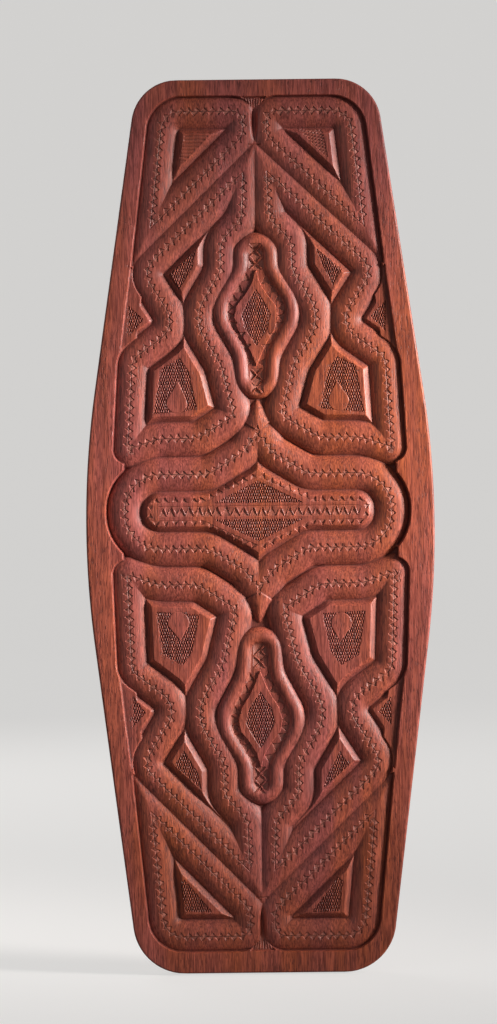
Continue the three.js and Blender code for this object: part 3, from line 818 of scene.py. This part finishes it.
# rows crowd towards the ends, where the outline turns through the rounded corners
share = np.linspace(-1, 1, ROWS + 1)
row_z = HALF * (share * 0.985 + 0.015 * np.sin(share * math.pi / 2) ** 15)
row_half = corner_half(row_z)
grid_x = row_half[:, None] * np.linspace(-1, 1, COLUMNS + 1)[None, :]
grid_z = np.repeat(row_z[:, None], COLUMNS + 1, 1)

from_edge = sample(distance_to(both_sides(row_half, row_z), 8 * MM), grid_x, grid_z)
on_edge = np.zeros(grid_x.shape, bool)
on_edge[0], on_edge[-1], on_edge[:, 0], on_edge[:, -1] = True, True, True, True
from_edge[on_edge] = 0
fall = ARRIS - np.clip(from_edge, 0, ARRIS)
round_over = -(ARRIS - np.sqrt(np.clip(ARRIS**2 - fall**2, 0, None)))
grid_depth = np.minimum(sample(sheet, grid_x, grid_z), 0.05 * MM) + round_over
grid_depth[on_edge] = -ARRIS

bpy.ops.mesh.primitive_grid_add(x_subdivisions=COLUMNS, y_subdivisions=ROWS, size=1, location=(0, 0, 0))
board = bpy.context.object
board.name = "shield_board"
places = np.stack([grid_x, FACE_Y - grid_depth, grid_z], 2).astype(np.float32)
board.data.vertices.foreach_set("co", places.ravel())
board.data.update()
print("face:", len(board.data.vertices), "corners,", round(float(board.dimensions.x), 4), "m wide")


# %% Thin the triangles, then give the plank its thickness
SMOOTH_UP_TO = math.radians(32)


def pick(piece):
    """Selects one piece and nothing else."""
    bpy.ops.object.select_all(action="DESELECT")
    bpy.context.view_layer.objects.active = piece
    piece.select_set(True)


def apply_modifier(piece, kind, **values):
    modifier = piece.modifiers.new(kind.lower(), kind)
    for name, value in values.items():
        setattr(modifier, name, value)
    pick(piece)
    bpy.ops.object.modifier_apply(modifier=modifier.name)


apply_modifier(board, "DECIMATE", ratio=FACE_TRIANGLES / (2 * COLUMNS * ROWS))
bpy.ops.object.mode_set(mode="EDIT")
bpy.ops.mesh.select_mode(type="EDGE")
bpy.ops.mesh.select_all(action="DESELECT")
bpy.ops.mesh.select_non_manifold(
    extend=False, use_wire=False, use_multi_face=False, use_non_contiguous=False, use_verts=False
)
bpy.ops.mesh.extrude_region_move(TRANSFORM_OT_translate={"value": (0, THICKNESS - ARRIS, 0)})
bpy.ops.mesh.edge_face_add()
bpy.ops.mesh.bevel(offset=ARRIS, segments=3)
bpy.ops.mesh.select_all(action="SELECT")
bpy.ops.mesh.normals_make_consistent(inside=False)
bpy.ops.object.mode_set(mode="OBJECT")
bpy.ops.object.shade_smooth_by_angle(angle=SMOOTH_UP_TO)
apply_modifier(board, "WEIGHTED_NORMAL", mode="FACE_AREA_WITH_ANGLE", keep_sharp=True)
print("board:", len(board.data.polygons), "faces, thickness", round(board.dimensions.y / MM, 2), "mm")

# %% [markdown]
# ## Darkened hollows and lightened crests
# The grooves are made darker, partly as dust and old polish and partly as painted shade, and the
# crests lighter, partly as wear from hands and partly as a painted highlight. Both follow from the
# sheet: a spot that lies lower than its surroundings is hollow, and one that lies higher is lightened.
# The floors of the lenses and coves get less of this darkening than other hollows. All this is
# kept on the board as attributes, which the finish reads, along with the distance to the crest,
# the count of chips along it, and where the wood is cut, hatched or on the back.


# %% Darkened hollows and lightened crests
def surroundings(field, reach):
    """The mean of a square window round each spot."""
    n = max(1, int(reach / SPOT))
    for axis in (0, 1):
        margin = [(n + 1, n) if a == axis else (0, 0) for a in (0, 1)]
        total = np.cumsum(np.pad(field, margin, mode="edge"), axis, dtype=float)
        size = 2 * n + 1
        top = total[size:] if axis == 0 else total[:, size:]
        low = total[:-size] if axis == 0 else total[:, :-size]
        field = (top - low) / size
    return field


NARROW, BROAD, BACK_PART = 2 * MM, 9 * MM, 8 * MM
KEPT_DARKENING = 0.35  # the share of the darkening, partly dust and partly painted shade, left on these floors
close = forms - surroundings(forms, NARROW)
wide = forms - surroundings(forms, BROAD)
# the grooves' darkening: partly dust and old polish, partly painted shade in the recesses
hollow = np.clip(-close / (0.7 * MM), 0, 1) * 0.7 + np.clip(-wide / (4 * MM), 0, 1) * 0.4
hollow[less_darkened_floors] *= KEPT_DARKENING
# the crests' lightening: partly rubbed wear, partly a painted highlight
wear_and_highlight = np.clip(close / (0.6 * MM), 0, 1) * 0.5 + np.clip(wide / (3.5 * MM), 0, 1) * 0.5
steep = np.hypot(*np.gradient(cuts, SPOT))
steep = np.clip((steep - 0.6) / 1.2, 0, 1)
corners = np.zeros(3 * len(board.data.vertices), np.float32)
board.data.vertices.foreach_get("co", corners)
corners = corners.reshape(-1, 3)
on_face = corners[:, 1] < BACK_Y - BACK_PART
fields = {
    "hollow": np.clip(hollow, 0, 1),
    "wear_and_highlight": np.clip(wear_and_highlight, 0, 1),
    "steep": steep,
    "sliced": np.clip(cuts / (1.2 * MM), 0, 1) * (1 - hatched),
    "hatched": hatched,
    "from_crest": from_crest / MM,
    "beside_crest": beside_crest / MM,
    "chip_count": chip_count,
}
for name, field in fields.items():
    away = NOT_NEAR / MM if "crest" in name else 0
    values = np.where(on_face, sample(field, corners[:, 0], corners[:, 2]), away)
    attribute = board.data.attributes.new(name, "FLOAT", "POINT")
    attribute.data.foreach_set("value", values.astype(np.float32))
    print(name, "mean on the face:", round(float(values[on_face].mean()), 3))
attribute = board.data.attributes.new("back", "FLOAT", "POINT")
attribute.data.foreach_set("value", (corners[:, 1] > BACK_Y - ARRIS - 0.1 * MM).astype(np.float32))

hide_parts("carved_board")
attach(board, "root")

# %% [markdown]
# ## Oiled hardwood
# One shader group makes the grain for every piece. Broad patches, ribbons and streaks of colour
# run along the grain, with fine fibres over them and short dark pores scattered through. The noise
# is stretched along Z, and since it fills space, a carved slope cuts through it as a real one does.
# The group puts out a colour, a roughness and a height. Its inputs set the colours and the place,
# which a material turns where a piece's grain doesn't run up the shield.


# %% Wood shader group
def wood_group():
    group = bpy.data.node_groups.new("oiled_hardwood", "ShaderNodeTree")
    for way, kind, names in (
        ("INPUT", "NodeSocketColor", ("Warm", "Cool", "Dark")),
        ("INPUT", "NodeSocketFloat", ("Pores", "Hollow", "Wear And Highlight", "Tool Marks")),
        ("INPUT", "NodeSocketVector", ("Where",)),
        ("OUTPUT", "NodeSocketColor", ("Color",)),
        ("OUTPUT", "NodeSocketFloat", ("Roughness", "Height")),
    ):
        for name in names:
            group.interface.new_socket(name, in_out=way, socket_type=kind)
    maths = maths_in(group)
    given, out = add_node(group, "NodeGroupInput"), add_node(group, "NodeGroupOutput")

    def noise(scale, detail, stretch, rough=0.5, distortion=0.0):
        mapping = add_node(group, "ShaderNodeMapping", {"Vector": given.outputs["Where"], "Scale": stretch})
        inputs = {"Vector": mapping.outputs["Vector"], "Scale": scale, "Detail": detail}
        inputs |= {"Roughness": rough, "Distortion": distortion}
        return add_node(group, "ShaderNodeTexNoise", inputs).outputs["Fac"]

    def spread(value, low, high, to_low=0.0, to_high=1.0):
        inputs = {"Value": value, "From Min": low, "From Max": high, "To Min": to_low, "To Max": to_high}
        return add_node(group, "ShaderNodeMapRange", inputs).outputs["Result"]

    def blend(factor, a, b, how="MIX"):
        inputs = {"Factor": factor, "A": a, "B": b}
        return add_node(group, "ShaderNodeMix", inputs, data_type="RGBA", blend_type=how).outputs["Result"]

    broad = spread(noise(9, 3, (1, 1, 0.35)), 0.38, 0.62)
    ribbons = spread(noise(42, 3, (1, 1, 0.06), 0.55), 0.38, 0.62)
    broad = maths("ADD", maths("MULTIPLY", broad, 0.6), maths("MULTIPLY", ribbons, 0.4))
    streaks = spread(noise(110, 5, (1, 1, 0.045), 0.62, distortion=0.3), 0.36, 0.64)
    fibres = noise(700, 3, (1, 1, 0.06), 0.6)
    pores = spread(noise(1000, 1, (1, 1, 0.16), 0.4), 0.54, 0.68)
    pores = maths("MULTIPLY", pores, spread(noise(45, 2, (1, 1, 0.3)), 0.35, 0.6, 0.35, 1))
    pores = maths("MULTIPLY", pores, given.outputs["Pores"])
    tools = noise(75, 2, (1, 1, 0.6))

    colour = blend(broad, given.outputs["Cool"], given.outputs["Warm"])
    colour = blend(maths("MULTIPLY", streaks, 0.34), colour, given.outputs["Dark"])
    colour = blend(spread(fibres, 0.38, 0.62, 0.66, 0), colour, given.outputs["Dark"])
    colour = blend(pores, colour, given.outputs["Dark"])
    # crests made paler: partly rubbed wear, partly a painted highlight
    pale = blend(maths("MULTIPLY", given.outputs["Wear And Highlight"], 0.35), colour, (1, 0.86, 0.78, 1), "SOFT_LIGHT")
    # hollows made darker: partly dust, partly painted shade
    shade = maths("MULTIPLY", given.outputs["Hollow"], 0.75)
    colour = blend(shade, pale, given.outputs["Dark"])

    dull = maths("MULTIPLY", given.outputs["Hollow"], 0.2)
    rough = maths("ADD", spread(fibres, 0.3, 0.7, 0.43, 0.55), dull)
    rough = maths("SUBTRACT", rough, maths("MULTIPLY", given.outputs["Wear And Highlight"], 0.08))
    height = maths("SUBTRACT", maths("MULTIPLY", fibres, 0.25), pores)
    marked = maths("ADD", maths("MULTIPLY", given.outputs["Tool Marks"], 24), 1.5)
    height = maths("ADD", height, maths("MULTIPLY", tools, marked))
    feed(group, out, {"Color": colour, "Roughness": rough, "Height": height})
    return group


oiled_hardwood = wood_group()
GRAIN_DEPTH = 0.14 * MM


def wood_material(name, warm, cool, dark, pores=0.7, tool_marks=0.2, attributes=False, turn=(0, 0, 0)):
    material = bpy.data.materials.new(name)
    material.use_nodes = True
    tree = material.node_tree
    object_place = add_node(tree, "ShaderNodeTexCoord").outputs["Object"]
    place_in_wood = add_node(tree, "ShaderNodeMapping", {"Vector": object_place, "Rotation": turn})
    inputs = {"Where": place_in_wood.outputs["Vector"], "Pores": pores, "Tool Marks": tool_marks}
    inputs |= {"Warm": (*warm, 1), "Cool": (*cool, 1), "Dark": (*dark, 1)}
    wood = add_node(tree, "ShaderNodeGroup", inputs, node_tree=oiled_hardwood)
    if attributes:
        kept = {"Hollow": "hollow", "Wear And Highlight": "wear_and_highlight", "Tool Marks": "back"}
        feed(tree, wood, {socket: attribute_in(tree, attribute) for socket, attribute in kept.items()})
    inputs = {"Strength": 1, "Distance": GRAIN_DEPTH, "Height": wood.outputs["Height"]}
    relief = add_node(tree, "ShaderNodeBump", inputs)
    finish = {"Base Color": wood.outputs["Color"], "Roughness": wood.outputs["Roughness"]}
    finish |= {"Normal": relief.outputs["Normal"], "Specular IOR Level": 0.5}
    feed(tree, tree.nodes["Principled BSDF"], finish)
    return material


BOARD_WOOD = dict(warm=(0.64, 0.142, 0.046), cool=(0.54, 0.130, 0.110), dark=(0.085, 0.014, 0.010))
board_wood = wood_material("board_wood", attributes=True, **BOARD_WOOD)
board.data.materials.clear()
board.data.materials.append(board_wood)

# %% [markdown]
# ## The knife cuts, with painted shadow
# A knife leaves an edge far finer than a mesh can hold over a metre of carving. The same cuts are
# therefore worked out once more in the finish, from the distance to the crest and the count of
# chips, so that each stab ends in a thin line of painted shadow where its geometry is deepest. The
# scribed lines, the hatching and the steep walls get painted shadow too, and the chips' floors are
# made paler, partly as fresh-cut wood and partly as a painted highlight.


# %% Painted shadow and paler floors of the knife cuts in the board's finish
FADE_FROM, FADE_TO = 6.5, 7.5  # millimetres from the crest, past the points of its chips
# a paler colour for the chips' floors, partly fresh-cut wood and partly a painted highlight, and the colour
# of the painted shadow in the cuts
FRESH_WOOD_AND_HIGHLIGHT, CUT_SHADOW = (0.60, 0.24, 0.17, 1), (0.035, 0.008, 0.006, 1)


def add_knife_cuts_and_painted_shade(material):
    tree = material.node_tree
    maths = maths_in(tree)
    shader, relief = tree.nodes["Principled BSDF"], tree.nodes["Bump"]

    def ramp(value, low, high):
        inputs = {"Value": value, "From Min": low, "From Max": high}
        return add_node(tree, "ShaderNodeMapRange", inputs, interpolation_type="SMOOTHSTEP").outputs["Result"]

    def mix_in(factor, colour):
        inputs = {"Factor": factor, "A": shader.inputs["Base Color"].links[0].from_socket, "B": colour}
        mix = add_node(tree, "ShaderNodeMix", inputs, data_type="RGBA")
        tree.links.new(mix.outputs["Result"], shader.inputs["Base Color"])

    where = add_node(tree, "ShaderNodeTexCoord").outputs["Object"]
    wander = add_node(tree, "ShaderNodeTexNoise", {"Vector": where, "Scale": 170}).outputs["Fac"]
    loose = maths("MULTIPLY", maths("SUBTRACT", wander, 0.5), 0.22)
    by_crest = ramp(attribute_in(tree, "from_crest"), FADE_TO, FADE_FROM)
    away = maths("ABSOLUTE", attribute_in(tree, "beside_crest"))
    scribe = maths("MULTIPLY", ramp(away, 0.8, 0.25), ramp(wander, 0.75, 0.4))
    scribe = maths("MULTIPLY", scribe, by_crest)

    # a chip narrows from its base on the crest to its point
    half = CHIP_BASE / CHIP_PITCH / 2
    lift = maths("DIVIDE", away, CHIP_REACH / MM)
    this_row = maths("MULTIPLY", maths("LESS_THAN", attribute_in(tree, "beside_crest"), 0.0), -ROWS_OFF)
    count = maths("ADD", maths("ADD", attribute_in(tree, "chip_count"), this_row), loose)
    which = add_node(tree, "ShaderNodeTexWhiteNoise", {"W": maths("FLOOR", count)}, noise_dimensions="1D")
    from_middle_line = maths("ABSOLUTE", maths("SUBTRACT", maths("FRACT", count), 0.5))
    past_edge = maths("SUBTRACT", from_middle_line, maths("MULTIPLY", maths("SUBTRACT", 1.0, lift), half))
    chip = maths("MULTIPLY", ramp(past_edge, 0.01, -0.05), by_crest)
    stab = maths("MULTIPLY", ramp(maths("ABSOLUTE", past_edge), 0.07, 0.01), ramp(lift, 1.1, 1.0))
    stab = maths("MULTIPLY", maths("MULTIPLY", stab, by_crest), ramp(which.outputs["Value"], -0.5, 0.6))

    axes = add_node(tree, "ShaderNodeSeparateXYZ", {"Vector": where})
    hatching = None
    for angle, pitch in UPRIGHT:
        sideways = maths("MULTIPLY", axes.outputs["X"], math.cos(angle) / pitch)
        upwards = maths("MULTIPLY", axes.outputs["Z"], math.sin(angle) / pitch)
        wave = maths("ABSOLUTE", maths("SUBTRACT", maths("FRACT", maths("ADD", sideways, upwards)), 0.5))
        groove = ramp(wave, 0.2, 0.44)
        hatching = groove if hatching is None else maths("MAXIMUM", hatching, groove)
    hatching = maths("MULTIPLY", hatching, ramp(attribute_in(tree, "hatched"), 0.35, 0.65))

    # the chips' floors made paler: partly fresh-cut wood, partly a painted highlight
    fresh_and_highlit = maths("MULTIPLY", chip, ramp(which.outputs["Value"], -0.2, 1.1))
    fresh_and_highlit = maths("MAXIMUM", fresh_and_highlit, maths("MULTIPLY", attribute_in(tree, "sliced"), 0.75))
    mix_in(maths("MULTIPLY", fresh_and_highlit, 0.45), FRESH_WOOD_AND_HIGHLIGHT)
    # painted shadow lines along the scribe, the hatching, the stabs and the steep walls
    edge = maths("MAXIMUM", maths("MULTIPLY", scribe, 0.7), maths("MULTIPLY", hatching, 0.85))
    edge = maths("MAXIMUM", edge, maths("MULTIPLY", stab, 0.34))
    past_chips = ramp(attribute_in(tree, "from_crest"), FADE_FROM, FADE_TO)
    walls = maths("MULTIPLY", attribute_in(tree, "steep"), past_chips)
    edge = maths("MAXIMUM", edge, maths("MULTIPLY", walls, 0.4))
    mix_in(maths("MULTIPLY", edge, 0.88), CUT_SHADOW)
    sunk = maths("MULTIPLY", maths("ADD", edge, maths("MULTIPLY", maths("ADD", lift, 0.5), chip)), 3.2)
    height = maths("SUBTRACT", relief.inputs["Height"].links[0].from_socket, sunk)
    tree.links.new(height, relief.inputs["Height"])


add_knife_cuts_and_painted_shade(board_wood)

# %% [markdown]
# ## The handle on the back
# The grip is a bar rounded with knife and spokeshave, thickest in the palm, whose ends are tenons.
# A disc is extruded along the bar from station to station and scaled at each. The pegs and pins
# are made the same way.

# %% A round bar from a disc
AXES = {"X": (0, math.pi / 2, 0), "Y": (math.pi / 2, 0, 0), "Z": (0, 0, 0)}


def round_bar(name, axis, centre, stations, sides=40):
    """A bar through a centre: stations are (place along the axis from there, radius)."""
    bpy.ops.object.select_all(action="DESELECT")
    (place_now, radius), *later = stations
    bpy.ops.mesh.primitive_circle_add(vertices=sides, radius=radius, fill_type="NGON", rotation=AXES[axis])
    piece = bpy.context.object
    piece.name = name
    bpy.ops.object.transform_apply(location=False, rotation=True, scale=False)
    along = np.array([float(letter == axis) for letter in "XYZ"])
    bpy.ops.object.mode_set(mode="EDIT")
    bpy.ops.mesh.select_all(action="SELECT")
    bpy.ops.transform.translate(value=np.array(centre) + along * place_now)
    for next_place, next_radius in later:
        bpy.ops.mesh.extrude_region_move(TRANSFORM_OT_translate={"value": along * (next_place - place_now)})
        scale = np.where(along > 0, 1, next_radius / radius)
        bpy.ops.transform.resize(value=scale, center_override=centre)
        place_now, radius = next_place, next_radius
    bpy.ops.mesh.select_all(action="SELECT")
    bpy.ops.mesh.normals_make_consistent(inside=False)
    bpy.ops.object.mode_set(mode="OBJECT")
    return piece


def bar_place(node, axis):
    """The centre of a round node, half its length along an axis, and its radius."""
    low, high = (np.array(corner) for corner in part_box(node))
    along = "XYZ".index(axis)
    return (low + high) / 2, (high[along] - low[along]) / 2, (high[2] - low[2]) / 2


def finish_piece(piece, node, slot):
    pick(piece)
    bpy.ops.object.shade_smooth_by_angle(angle=SMOOTH_UP_TO)
    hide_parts(node)
    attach(piece, "root")
    piece.data.materials.clear()
    piece.data.materials.append(finishes[slot, piece_axis(node)])


def piece_axis(node):
    return "X" if "pin" in node else "Y" if "peg" in node else "Z"


# %% Finishes of the handle
HANDLE_WOOD = dict(warm=(0.34, 0.080, 0.040), cool=(0.30, 0.080, 0.055), dark=(0.07, 0.014, 0.010))
PEG_WOOD = dict(warm=(0.52, 0.21, 0.095), cool=(0.46, 0.19, 0.10), dark=(0.16, 0.05, 0.025))
TURN_TO_Z = {"X": (0, -math.pi / 2, 0), "Y": (math.pi / 2, 0, 0), "Z": (0, 0, 0)}
finishes = {("handle_wood", "Z"): wood_material("handle_wood", tool_marks=0.25, pores=0.5, **HANDLE_WOOD)}
for axis, label in (("X", "pin_wood"), ("Y", "peg_wood")):
    finishes["peg_wood", axis] = wood_material(label, tool_marks=0.05, turn=TURN_TO_Z[axis], **PEG_WOOD)

# %% Grip bar
GRIP_RADIUS, GRIP_END, TENON = 16.5 * MM, 13.5 * MM, 10 * MM
SHOULDER, TIP, EASE, BORE_GAP = 61.7 * MM, 88 * MM, 1.2 * MM, 0.3 * MM
stations = [(-TIP, TENON - EASE), (-TIP + EASE, TENON), (-SHOULDER, TENON), (-SHOULDER, GRIP_END - EASE)]
for share in np.linspace(-1, 1, 25):
    swell = GRIP_RADIUS + (GRIP_END - GRIP_RADIUS) * share**2
    stations.append((share * (SHOULDER - EASE / 2), float(swell)))
stations += [(-place_now, radius) for place_now, radius in reversed(stations[:4])]
grip = round_bar("grip", "Z", (0, 0, 0), stations, sides=56)
for node in ("upper_grip_pin", "lower_grip_pin"):
    centre, reach, radius = bar_place(node, "X")
    bore = radius + BORE_GAP
    cutter = round_bar("cutter", "X", centre, [(-reach, bore), (reach, bore)])
    apply_modifier(grip, "BOOLEAN", operation="DIFFERENCE", object=cutter)
    bpy.data.objects.remove(cutter)
finish_piece(grip, "grip_bar", "handle_wood")
print("grip:", len(grip.data.polygons), "faces,", round(grip.dimensions.z / MM, 1), "mm long")

# %% Pins and pegs
PIN_EASE, PEG_EASE = 0.5 * MM, 0.9 * MM


def add_peg(name, node, axis, ease, sides):
    """A round peg in place of its node, with both ends eased."""
    centre, reach, radius = bar_place(node, axis)
    steps = [(-reach, radius - ease), (-reach + ease, radius), (reach - ease, radius), (reach, radius - ease)]
    finish_piece(round_bar(name, axis, centre, steps, sides), node, "peg_wood")


for end in ("upper", "lower"):
    add_peg(f"pin_{end}", f"{end}_grip_pin", "X", PIN_EASE, 24)
    for side in ("left", "right"):
        add_peg(f"peg_{end}_{side}", f"{end}_cleat_peg_{side}", "Y", PEG_EASE, 28)

# %% [markdown]
# The cleats are sawn from one block and hollowed towards the toe. The solid model has their whole
# shape, so a copy of it is taken, its triangles are merged into whole faces, and the edges get the
# small round that sanding and hands leave.

# %% Cleats
for end in ("upper", "lower"):
    cleat = bpy.data.objects.new(f"cleat_{end}", bpy.data.objects[f"{end}_cleat"].data.copy())
    bpy.context.collection.objects.link(cleat)
    pick(cleat)
    bpy.ops.object.mode_set(mode="EDIT")
    bpy.ops.mesh.select_all(action="SELECT")
    bpy.ops.mesh.remove_doubles(threshold=0.001 * MM)
    bpy.ops.mesh.dissolve_limited(angle_limit=math.radians(1))
    bpy.ops.object.mode_set(mode="OBJECT")
    apply_modifier(
        cleat, "BEVEL", width=0.7 * MM, segments=2, limit_method="ANGLE", angle_limit=math.radians(30)
    )
    finish_piece(cleat, f"{end}_cleat", "handle_wood")
    print(cleat.name, len(cleat.data.polygons), "faces")
